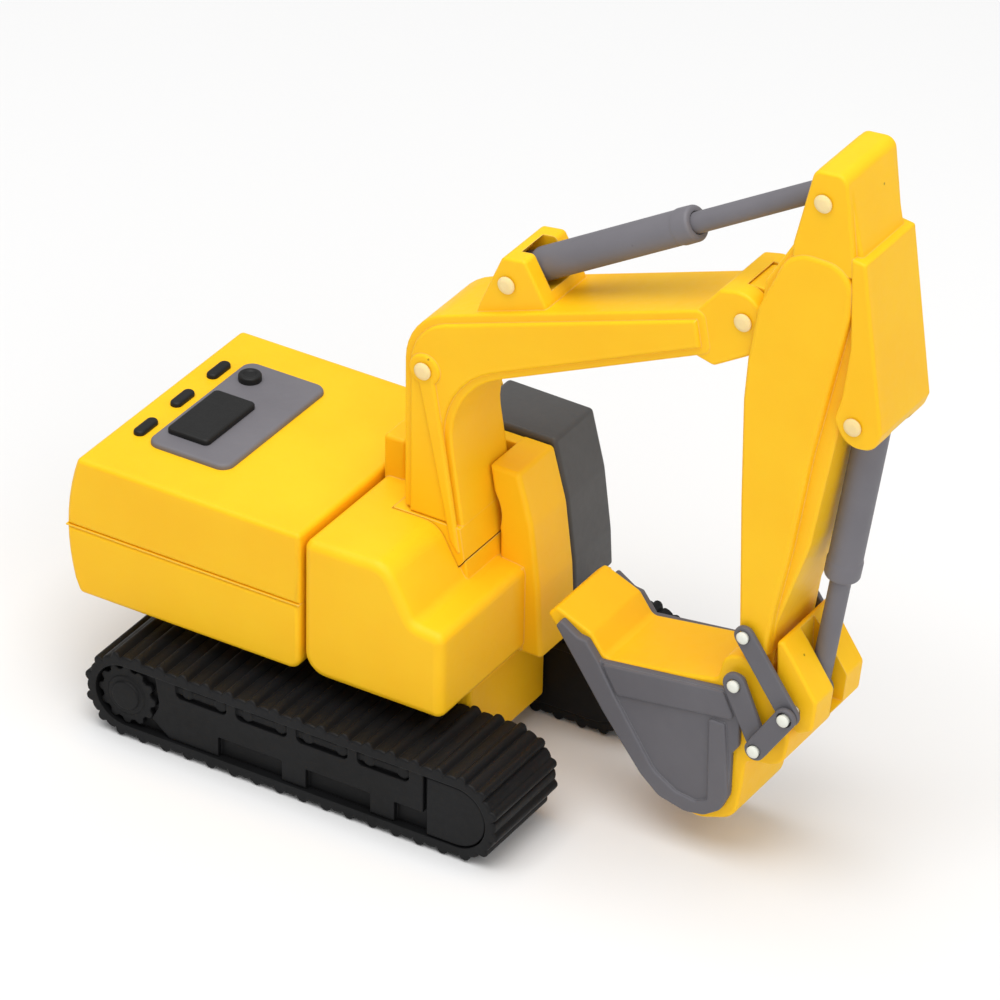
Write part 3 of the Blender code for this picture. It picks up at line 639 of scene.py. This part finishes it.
def make_engine_house():
    x_front = box_of("engine_house_upper")[1]
    upper = slab([(x_front, SEAM_Z + SEAM_HALF), (x_front, ROOF_Z, 0.45),
                  (CAP_REAR + REAR_BULGE, ROOF_Z, 0.55), *rear_wall(ROOF_Z, SEAM_Z),
                  (CAP_REAR, SEAM_Z + SEAM_HALF)], *both_ways(HOUSE_HALF), 0.5)
    lower = slab([(x_front, SEAM_Z - SEAM_HALF), (x_front, HOUSE_BOTTOM, 1.1),
                  (CAP_REAR + 1.25, HOUSE_BOTTOM, 0.6), *rear_wall(HOUSE_BOTTOM, SEAM_Z),
                  (CAP_REAR, SEAM_Z - SEAM_HALF)], *both_ways(HOUSE_HALF), 0.5)
    union(lower, slab(rectangle(CAP_REAR - FLASH, x_front,
                                SEAM_Z - 3 * FLASH, SEAM_Z + 3 * FLASH, 0.015),
                      *both_ways(HOUSE_HALF + FLASH), 0.015))
    cut(upper, plug_slot())
    cut(lower, plug_slot())
    piece(upper, "cap", "yellow_pvc", "engine_house_upper")
    piece(lower, "cap", "yellow_pvc", "engine_house_lower")


def panel_top():
    return box_of("roof_panel")[5] + PANEL_LIFT


def make_roof_panel():
    x0, x1, y0, y1, _, _ = box_of("roof_panel")
    panel = slab(rectangle(x0, x1 + 0.3, y0 - 0.45, y1, 1.15), ROOF_Z - SUNK, panel_top(),
                 0.32, "z")
    piece(panel, "cap", "grey_pvc", "roof_panel")


def make_roof_hatch():
    x0, x1, y0, y1, _, z1 = box_of("roof_hatch")
    hatch = slab(rectangle(x0, x1, y0, y1, 0.5), panel_top() - 0.2, z1, 0.22, "z")
    piece(hatch, "cap", "hatch_black_pvc", "roof_hatch")


def make_exhaust():
    """A short stub with a dished top."""
    x0, x1, y0, y1, _, z1 = box_of("exhaust_stub")
    r, base = (x1 - x0) / 2, panel_top() - 0.2
    stub = turned(((x0 + x1) / 2, (y0 + y1) / 2, 0.0), UP, [
        (base, 0.0), (base, r), (z1, r, 0.22), (z1 - 0.03, r * 0.62, 0.1),
        (z1 - 0.14, r * 0.5, 0.05), (z1 - 0.14, 0.0)])
    piece(stub, "cap", "hatch_black_pvc", "exhaust_stub")


def make_roof_vents():
    for node in ("roof_vent_1", "roof_vent_2", "roof_vent_3"):
        x0, x1, y0, y1, _, z1 = box_of(node)
        r = (x1 - x0) / 2 - 0.05
        vent = slab(rectangle(x0 + 0.05, x1 - 0.05, y0 + 0.12, y1 - 0.12, r * ROUND_END),
                    ROOF_Z - SUNK, z1 - 0.15, 0.25, "z")
        piece(vent, "cap", "hatch_black_pvc", node)


# ---------------------------------------------------------------- house front and cab
# the cab's front edge as seen from the side, from its foot to its roof
CAB_FRONT = [(15.9, 10.1, 0.3), (15.5, 17.0, 6.0), (14.7, 23.0, 6.0), (13.3, 28.0, 0.45)]
HUB_PLAY = 0.3
SOCKET_HALF = 7.2


def right_hand_walls():
    """The block on the right, and the core that it shares with the cab."""
    x0, bottom = FRONT_GAP, HOUSE_BOTTOM
    block = slab([(x0, bottom, 2.3), (x0, 24.1, 1.0), (8.5, 24.25, 2.4), (11.25, 19.3, 1.3),
                  (14.2, 19.0, 0.9), (14.2, bottom, 0.8)], -HOUSE_HALF, 1.2, 0.95)
    core = slab([(0.25, bottom - 0.1), (14.0, bottom - 0.1), (14.0, 18.9), (11.2, 19.2, 1.3),
                 (8.45, 24.15, 2.4), (0.25, 23.9)], 0.35, 5.3, 0.0)
    return block, core


def cab_walls():
    wall = slab([(0.3, 10.1)] + CAB_FRONT[:3] + [(13.28, 27.95, 0.4), (0.3, 27.95, 0.3)],
                4.98, 6.28, 0.15)
    pillar = slab([(11.6, 10.1)] + CAB_FRONT + [(10.3, 28.0, 0.2), (11.45, 21.5)],
                  0.6, 6.3, 0.15, low_edge=0.45)
    rear = slab(rectangle(FRONT_GAP, 4.3, 10.5, 28.3, 0.4), 5.75, HOUSE_HALF, 0.5)
    strip = slab(rectangle(FRONT_GAP, 2.4, 20.0, 28.1, 0.4), -0.2, 5.9, 0.4)
    sill = slab([(3.0, 10.3), (15.8, 10.3, 0.4), (15.7, 13.0, 0.2), (3.0, 13.0)],
                5.65, HOUSE_HALF - 0.05, 0.4)
    lower = slab(rectangle(0.3, 9.3, 10.4, 20.3, 0.2), 5.15, 8.3, 0.0)
    post = slab([(8.6, 18.5), (8.6, 22.0), (11.0, 22.0), (11.5, 18.8)],
                -ARM_HALF - 0.35, ARM_HALF + 0.3, 0.15)
    return wall, pillar, rear, strip, sill, lower, post


def make_house_front():
    house, core = right_hand_walls()
    union(house, core, *cab_walls())
    cut(house, disc_y(FOOT, FOOT_RADIUS + FOOT_PLAY, *both_ways(FOOT_HALF + FOOT_PLAY),
                      sides=FOOT_SIDES))
    bore(house, FOOT, 0.65, 6.0)
    for x0, x1, top in ((-1.0, 3.4, 19.85), (3.0, 8.2, 18.8)):
        cut(house, slab(rectangle(x0, x1, 14.6, top, 0.3), *both_ways(SOCKET_HALF), 0.0))
    _, _, _, hub_radius, _, hub_top = box_of("slew_hub")
    under = 9.0
    cut(house, upright(centre_of("slew_hub")[0], under, hub_radius + HUB_PLAY,
                       hub_top + HUB_PLAY - under))
    piece(house, "house", "yellow_pvc", "house_front")


def make_cab_glass():
    glass = slab([(4.6, 13.3, 0.3), (15.72, 13.3, 0.3)] + CAB_FRONT[1:3]
                 + [(13.3, 28.45, 0.5), (4.6, 28.6, 0.5)], 6.45, HOUSE_HALF, 0.45)
    cut(glass, slab([(3.0, 12.0), (14.6, 12.0), (14.4, 17.0), (13.6, 23.0), (12.4, 27.3),
                     (3.0, 27.5)], 6.0, HOUSE_HALF - 1.0, 0.0))
    piece(glass, "house", "cab_glass_pvc", "cab_glass")


# ---------------------------------------------------------------- boom
BOOM = [(4.7, 24.45, 0.4), (4.55, 43.1, 5.6), (33.25, 52.95, 0.7), (34.0, 49.06, 0.9),
        (8.53, 37.46, 7.5), (10.85, 22.9, 0.3), (9.4, 22.9, 0.2), (8.4, 24.45, 0.3)]
BOOM_FACE = [(4.7, 23.6, 0.4)] + BOOM[1:5] + [(10.74, 23.6, 0.3)]
BOOM_NECK = [(32.2, 48.4, 0.4), (34.2, 47.9, 0.6), (37.9, 50.15, 2.3), (39.6, 53.6, 2.3),
             (36.9, 55.75, 2.2), (34.5, 55.2, 0.6), (32.2, 52.4, 0.4)]
BRACKET = [(10.9, 44.6), (11.4, 46.3, 0.6), (13.5, 51.3, 0.6), (15.7, 51.6, 0.5),
           (17.8, 48.0, 0.6), (18.3, 46.6)]
BRACKET_MOUTH = [(14.85, 47.35), (13.4, 50.2), (16.2, 53.3), (21.0, 53.6), (21.0, 50.4)]
RIB = [(6.05, 38.9, 0.4), (7.75, 38.9, 0.4), (10.75, 21.4, 0.15), (9.65, 22.9, 0.3)]
MOUTH_HALF = 1.7       # the opening for the cylinder's base
LUG_SLOT_HALF = 2.12   # the opening for the stick's lug


def boom_foot():
    """A disc that turns in the house front, cut off where it would show above it."""
    foot = disc_y(FOOT, FOOT_RADIUS, *both_ways(FOOT_HALF), 0.08, FOOT_SIDES)
    past = both_ways(6.0)
    cut(foot, slab([(10.63, 24.4), (11.28, 20.3), (15.0, 20.3), (15.0, 24.4)], *past, 0.0))
    cut(foot, slab(rectangle(0.0, 14.0, 24.3, 28.0, 0.0), *past, 0.0))
    return foot


def make_boom():
    boom = slab(BOOM, *both_ways(ARM_HALF), 0.25)
    panel = slab(moved_in(BOOM_FACE, 0.75), *both_ways(PANEL_HALF), 0.3)
    neck = slab(BOOM_NECK, *both_ways(3.85), 0.3)
    bracket = slab(BRACKET, *both_ways(3.3), 0.25)
    ribs_and_bosses = []
    for sign in (-1, 1):
        ribs_and_bosses.append(slab(RIB, *span(sign, PANEL_HALF - 0.3, PANEL_HALF + 0.32), 0.3))
        ribs_and_bosses.append(disc_y(KNEE, 1.5, *span(sign, PANEL_HALF - 0.3, PANEL_HALF + 0.3),
                                      0.25))
    union(boom, panel, boom_foot(), neck, bracket, *ribs_and_bosses)
    cut(boom, disc_y(STICK_CYL_BASE, 1.3, *both_ways(MOUTH_HALF)),
        slab(BRACKET_MOUTH, *both_ways(MOUTH_HALF), 0.0),
        disc_y(STICK_PIVOT, 2.6, *both_ways(LUG_SLOT_HALF)),
        slab(rectangle(36.2, 41.0, 49.0, 57.0, 0.0), *both_ways(LUG_SLOT_HALF), 0.0))
    for centre in (KNEE, STICK_CYL_BASE, STICK_PIVOT, FOOT):
        bore(boom, centre, BORE)
    piece(boom, "boom", "yellow_pvc", "boom")


# ---------------------------------------------------------------- cylinders and pins
BARREL_RADIUS = 1.5
BARREL_BORE = 0.98
ROD_RADIUS = 0.92


def make_cylinder(prefix, base, eye, barrel_len, rod_start):
    """A barrel that swings on its base pin and a rod that slides in it."""
    start = (base[0], 0.0, base[1])
    along = (eye[0] - base[0], 0.0, eye[1] - base[1])
    barrel = turned(start, along, [
        (0.6, 0.0), (0.6, 1.0, 0.3), (1.8, BARREL_RADIUS - 0.02, 0.5),
        (barrel_len - 1.9, BARREL_RADIUS, 0.3), (barrel_len - 1.6, 1.58, 0.2),
        (barrel_len, 1.56, 0.4), (barrel_len, BARREL_BORE, 0.05), (3.0, BARREL_BORE),
        (3.0, 0.0)])
    union(barrel, disc_y(base, 1.15, *both_ways(1.3), 0.2))
    bore(barrel, base, BORE)
    piece(barrel, prefix + "_barrel", "grey_pvc", prefix + "_cylinder_barrel")
    end = math.dist(base, eye) - 0.9
    rod = turned(start, along, [(rod_start, 0.0), (rod_start, ROD_RADIUS, 0.2),
                                (end, ROD_RADIUS), (end, 0.0)])
    union(rod, disc_y(eye, 1.08, *both_ways(ROD_RADIUS), 0.15))
    bore(rod, eye, LOOSE_BORE)
    piece(rod, prefix + "_rod", "grey_pvc", prefix + "_cylinder_rod")


PIN_HEAD = 0.3
PIN_DOME = 0.14
PIN_SIDES = 28
IVORY_PINS = (("knee_pin", "boom"), ("stick_cylinder_base_pin", "boom"),
              ("stick_pivot_pin", "boom"), ("stick_cylinder_eye_pin", "stick"),
              ("bucket_cylinder_base_pin", "stick"))
WHITE_PINS = (("rocker_pin", "stick"), ("bucket_pivot_pin", "bucket"),
              ("ear_pin", "bucket"), ("knuckle_pin", "rocker"))


def make_pin(node, body, finish, slimmer):
    """A turned pin with a low domed head at each end, a little slimmer than the CAD's."""
    x0, x1, y0, y1, z0, z1 = box_of(node)
    r = (x1 - x0) / 2 - slimmer
    pin = turned(((x0 + x1) / 2, 0.0, (z0 + z1) / 2), ACROSS, [
        (y0 - 0.02, 0.0), (y0, r * 0.6, 0.3), (y0 + PIN_DOME, r, 0.08), (y0 + PIN_HEAD, r),
        (y0 + PIN_HEAD, PIN_SHANK), (y1 - PIN_HEAD, PIN_SHANK), (y1 - PIN_HEAD, r),
        (y1 - PIN_DOME, r, 0.08), (y1, r * 0.6, 0.3), (y1 + 0.02, 0.0)], PIN_SIDES)
    piece(pin, body, finish, node)


# ---------------------------------------------------------------- stick
STICK = [(42.85, 69.0, 0.5), (41.2, 61.9, 1.0), (38.5, 57.2, 1.2), (37.3, 47.0, 9.0),
         (37.4, 36.4, 9.0), (37.85, 21.55, 0.3), (40.45, 21.55, 0.3), (41.0, 25.0, 4.0),
         (43.7, 33.3, 9.0), (46.2, 47.5, 6.0), (47.6, 55.0, 4.0), (47.3, 62.0, 0.5),
         (45.8, 69.2, 0.9)]
STICK_FACE = [(38.35, 55.0, 0.6), (41.1, 61.3, 3.2), (46.9, 61.2, 3.4), (46.75, 56.6, 4.0),
              (43.8, 42.4, 9.0), (42.4, 33.3, 9.0), (41.1, 26.6, 4.0), (40.4, 21.7, 0.4),
              (37.95, 21.7, 0.4), (37.5, 36.4, 9.0), (37.35, 46.0, 9.0), (37.6, 50.0, 5.0)]
CROWN = [(42.85, 69.1, 0.9), (41.2, 61.9, 0.4), (41.2, 60.2, 0.3), (46.95, 60.2, 0.3),
         (46.8, 61.95, 0.4), (45.85, 69.35, 1.0)]
HOOD = [(46.6, 62.15, 0.2), (47.95, 61.95, 0.25), (50.15, 46.7, 0.4), (49.5, 44.9, 1.7),
        (46.9, 44.6, 1.9), (45.7, 46.9, 0.9), (46.3, 49.0, 2.0), (46.9, 54.0, 3.0)]


def make_stick():
    stick = slab(STICK, *both_ways(ARM_HALF - 0.5), 0.3)
    union(stick, slab(STICK_FACE, *both_ways(PANEL_HALF), 0.4),
          slab(CROWN, *both_ways(ARM_HALF + 0.1), 0.28),
          slab(HOOD, *both_ways(ARM_HALF + 0.2), 0.28))
    cut(stick, disc_y(STICK_PIVOT, 2.7, *both_ways(3.97)),
        disc_y(STICK_PIVOT, 1.0, *both_ways(6.0)),
        slab(rectangle(40.0, 45.3, 62.6, 68.0, 0.3), *both_ways(1.25), 0.0),
        slab([(45.4, 43.0), (45.9, 48.5), (49.45, 48.5), (50.2, 43.0)], *both_ways(1.75), 0.0))
    lug = slab(capsule(STICK_PIVOT, (40.4, 53.0), 2.45, 2.5), *both_ways(2.0), 0.1)
    tongue = slab(capsule((38.7, 24.0), BUCKET_PIVOT, 1.8, 1.8), *both_ways(1.9), 0.15)
    boss = slab(capsule((39.2, 24.6), ROCKER_PIVOT, 1.6, 1.35), *both_ways(PANEL_HALF + 0.12),
                0.25)
    union(stick, lug, tongue, boss)
    for centre in (STICK_PIVOT, STICK_CYL_EYE, BUCKET_CYL_BASE, ROCKER_PIVOT, BUCKET_PIVOT):
        bore(stick, centre, BORE)
    piece(stick, "stick", "yellow_pvc", "stick")


# ---------------------------------------------------------------- linkage
LINK_NEAR = ARM_HALF + 0.65        # the rocker links and the ears
LINK_FAR = ARM_HALF + 1.15
PUSH_NEAR = LINK_FAR + 0.15        # the push links lie outside them
PUSH_FAR = ARM_HALF + 1.8
KNUCKLE_BLOCK = [(41.35, 24.6, 0.4), (42.9, 22.6, 0.5), (45.4, 18.9, 0.6), (45.1, 16.0, 0.6),
                 (43.7, 15.2, 0.5), (42.5, 16.2, 0.5), (41.5, 19.5, 1.5)]


def link(node, body, ends, radii, y_range, first_bore=BORE):
    """A flat bar between two pins, bored at both ends."""
    bar = slab(capsule(*ends, *radii), *y_range, 0.14)
    bore(bar, ends[0], first_bore)
    bore(bar, ends[1], BORE)
    piece(bar, body, "plate_grey_pvc", node)


def make_linkage():
    block = slab(KNUCKLE_BLOCK, *both_ways(ARM_HALF + 0.1), 0.3)
    cut(block, slab(rectangle(42.0, 48.0, 16.2, 28.0, 0.0), *both_ways(1.15), 0.0))
    bore(block, KNUCKLE, BORE)
    piece(block, "rocker", "yellow_pvc", "knuckle_block")
    for sign, side in ((1, "left"), (-1, "right")):
        near, far = span(sign, LINK_NEAR, LINK_FAR), span(sign, PUSH_NEAR, PUSH_FAR)
        link("rocker_link_" + side, "rocker", (ROCKER_PIVOT, KNUCKLE), (0.95, 1.0), near)
        link("bucket_ear_" + side, "bucket", (BUCKET_PIVOT, EAR), (1.15, 0.95), near)
        link("push_link_" + side, "push_link", (KNUCKLE, EAR), (1.0, 0.95), far, LOOSE_BORE)


# ---------------------------------------------------------------- bucket
BUCKET = [(19.2, 18.65, 0.3), (20.1, 19.6, 0.4), (23.6, 18.15, 0.8), (25.0, 16.2, 0.8),
          (33.0, 17.4, 6.0), (35.9, 18.0, 0.8), (36.4, 20.6, 1.6), (38.6, 21.15, 1.6),
          (40.4, 19.2, 1.5), (42.95, 14.4, 1.6), (42.4, 11.4, 1.7), (38.9, 10.8, 0.8),
          (38.65, 8.2, 6.0), (38.1, 4.6, 2.2), (34.6, 3.35, 2.6), (31.0, 4.2, 0.8),
          (25.2, 11.1, 6.0)]
HOLLOW = [(21.4, 14.0), (22.6, 16.9, 0.6), (23.7, 16.3, 0.6), (24.6, 14.9, 0.5),
          (35.2, 16.1, 1.2), (37.4, 11.2, 2.5), (37.2, 6.4, 2.0), (35.6, 5.0, 0.8),
          (33.2, 4.9, 0.5), (32.0, 1.0), (26.0, 6.0)]
# the side plate: its lip, the edge under the links, the heel, the inside of its raised rim
# and the band across its top
LIP = [(20.5, 18.3, 0.2), (20.95, 18.95, 0.25), (22.65, 17.85, 0.5), (23.5, 17.75, 0.3),
       (24.75, 16.1, 0.3)]
BACK_EDGE = [(37.0, 17.65, 0.7), (38.45, 15.6, 1.5), (38.45, 12.3, 0.8), (37.8, 11.4, 0.3)]
HEEL = [(37.75, 7.1, 1.5), (37.0, 5.45, 1.0), (35.5, 4.4, 1.2), (33.6, 4.1, 1.5),
        (31.0, 4.75, 1.5), (29.2, 6.3, 3.0), (25.3, 11.3, 8.0)]
RIM_INSIDE = [(26.4, 13.3, 6.0), (30.5, 7.1, 3.0), (32.7, 5.75, 1.0), (34.6, 5.5, 0.5),
              (35.75, 6.1, 0.6), (35.6, 14.3, 0.3), (37.2, 14.3, 0.3)]
BAND = [(25.05, 16.0, 0.2), (36.9, 17.45, 0.5), (38.1, 14.95, 0.4), (26.6, 13.35, 0.2)]
CHEEK_NEAR = ARM_HALF + 0.05
CHEEK_FAR = ARM_HALF + 0.9


def make_bucket_shell():
    bucket = slab(BUCKET, *both_ways(ARM_HALF + 0.1), 0.3)
    cut(bucket, slab(HOLLOW, *both_ways(3.1), 0.4),
        slab(capsule((37.6, 22.5), BUCKET_PIVOT, 2.3, 2.6), *both_ways(2.2), 0.0))
    for centre in (BUCKET_PIVOT, EAR):
        bore(bucket, centre, BORE)
    piece(bucket, "bucket", "yellow_pvc", "bucket")


def make_bucket_cheeks():
    raised = CHEEK_NEAR + 0.2
    for sign, side in ((1, "left"), (-1, "right")):
        cheek = slab(LIP + BACK_EDGE + HEEL, *span(sign, CHEEK_NEAR, CHEEK_FAR - 0.3), 0.15)
        rim = slab(LIP + RIM_INSIDE + HEEL, *span(sign, raised, CHEEK_FAR), 0.18)
        band = slab(BAND, *span(sign, raised, CHEEK_FAR - 0.06), 0.18)
        union(cheek, rim, band)
        piece(cheek, "bucket", "plate_grey_pvc", "bucket_side_plate_" + side)


def make_arm():
    make_boom()
    make_stick()
    make_cylinder("stick", STICK_CYL_BASE, STICK_CYL_EYE, 18.6, 9.2)
    make_cylinder("bucket", BUCKET_CYL_BASE, KNUCKLE, 17.6, 8.6)
    make_linkage()
    make_bucket_shell()
    make_bucket_cheeks()
    for node, body in IVORY_PINS:
        make_pin(node, body, "ivory_pin", 0.05)
    for node, body in WHITE_PINS:
        make_pin(node, body, "white_pin", 0.06)


# ---------------------------------------------------------------- pieces kept as they are
def finish_kept_nodes():
    """CAD nodes that stay take the finish that the record names for them."""
    slots = {s["node"]: s["material_slot"] for s in frame["record"]["subparts"]}
    for name, ob in frame["nodes"].items():
        ob.data.materials.clear()
        ob.data.materials.append(FINISH[slots[name]])


# ---------------------------------------------------------------- stage, light and camera
CAMERA_AZIMUTH = 31.06
CAMERA_ELEVATION = 32.11
CAMERA_ROLL = 1.14
CAMERA_DISTANCE = 0.5966
CAMERA_LENS = 252.0
AIM = Vector((-0.0011, 0.0, 0.0253))
FLOOR_HALF = 1.5       # metres
FLOOR_WHITE = 0.78
FLOOR_DEPTH = 0.00002  # metres below the tracks, so that the two don't share a plane
SKY_STRENGTH = 0.50


def make_stage():
    bm = bmesh.new()
    bmesh.ops.create_grid(bm, x_segments=2, y_segments=2, size=FLOOR_HALF)
    floor = to_object(bm, "floor")
    floor.location.z = -FLOOR_DEPTH
    mat = bpy.data.materials.new("floor_white")
    mat.use_nodes = True
    bsdf = mat.node_tree.nodes["Principled BSDF"]
    bsdf.inputs["Base Color"].default_value = (FLOOR_WHITE, FLOOR_WHITE, FLOOR_WHITE, 1.0)
    bsdf.inputs["Roughness"].default_value = 0.9
    bsdf.inputs["Specular IOR Level"].default_value = 0.1
    floor.data.materials.append(mat)
    world = bpy.data.worlds.new("studio")
    bpy.context.scene.world = world
    world.use_nodes = True
    sky = world.node_tree.nodes["Background"]
    sky.inputs["Color"].default_value = (1.0, 1.0, 1.0, 1.0)
    sky.inputs["Strength"].default_value = SKY_STRENGTH


def from_angles(azimuth, elevation):
    """The direction towards a viewer at these angles, in degrees."""
    a, e = math.radians(azimuth), math.radians(elevation)
    return Vector((math.sin(a) * math.cos(e), -math.cos(a) * math.cos(e), math.sin(e)))


def softbox(name, azimuth, elevation, distance, size, power):
    data = bpy.data.lights.new(name, "AREA")
    data.shape = "SQUARE"
    data.size = size
    data.energy = power
    ob = bpy.data.objects.new(name, data)
    bpy.context.scene.collection.objects.link(ob)
    back = from_angles(azimuth, elevation)
    ob.location = AIM + back * distance
    ob.rotation_mode = "QUATERNION"
    ob.rotation_quaternion = (-back).to_track_quat("-Z", "Y")


def make_camera():
    data = bpy.data.cameras.new("camera")
    data.lens = CAMERA_LENS
    data.clip_start, data.clip_end = 0.01, 10.0
    camera = bpy.data.objects.new("camera", data)
    bpy.context.scene.collection.objects.link(camera)
    back = from_angles(CAMERA_AZIMUTH, CAMERA_ELEVATION)
    a, roll = math.radians(CAMERA_AZIMUTH), math.radians(CAMERA_ROLL)
    level = Vector((math.cos(a), math.sin(a), 0.0))
    up = back.cross(level)
    right = level * math.cos(roll) + up * math.sin(roll)
    above = up * math.cos(roll) - level * math.sin(roll)
    turn = Matrix((right, above, back)).transposed().to_4x4()
    camera.matrix_world = Matrix.Translation(AIM + back * CAMERA_DISTANCE) @ turn
    bpy.context.scene.camera = camera


def main():
    make_undercarriage()
    make_engine_house()
    make_roof_panel()
    make_roof_hatch()
    make_exhaust()
    make_roof_vents()
    make_house_front()
    make_cab_glass()
    make_arm()
    finish_kept_nodes()
    make_stage()
    softbox("top_light", azimuth=0.0, elevation=80.0, distance=0.60, size=0.60, power=3.75)
    softbox("front_light", azimuth=55.0, elevation=32.0, distance=0.65, size=0.40, power=1.1)
    make_camera()
    bpy.context.scene.view_settings.view_transform = "Standard"
    bpy.context.scene.view_settings.look = "None"


main()
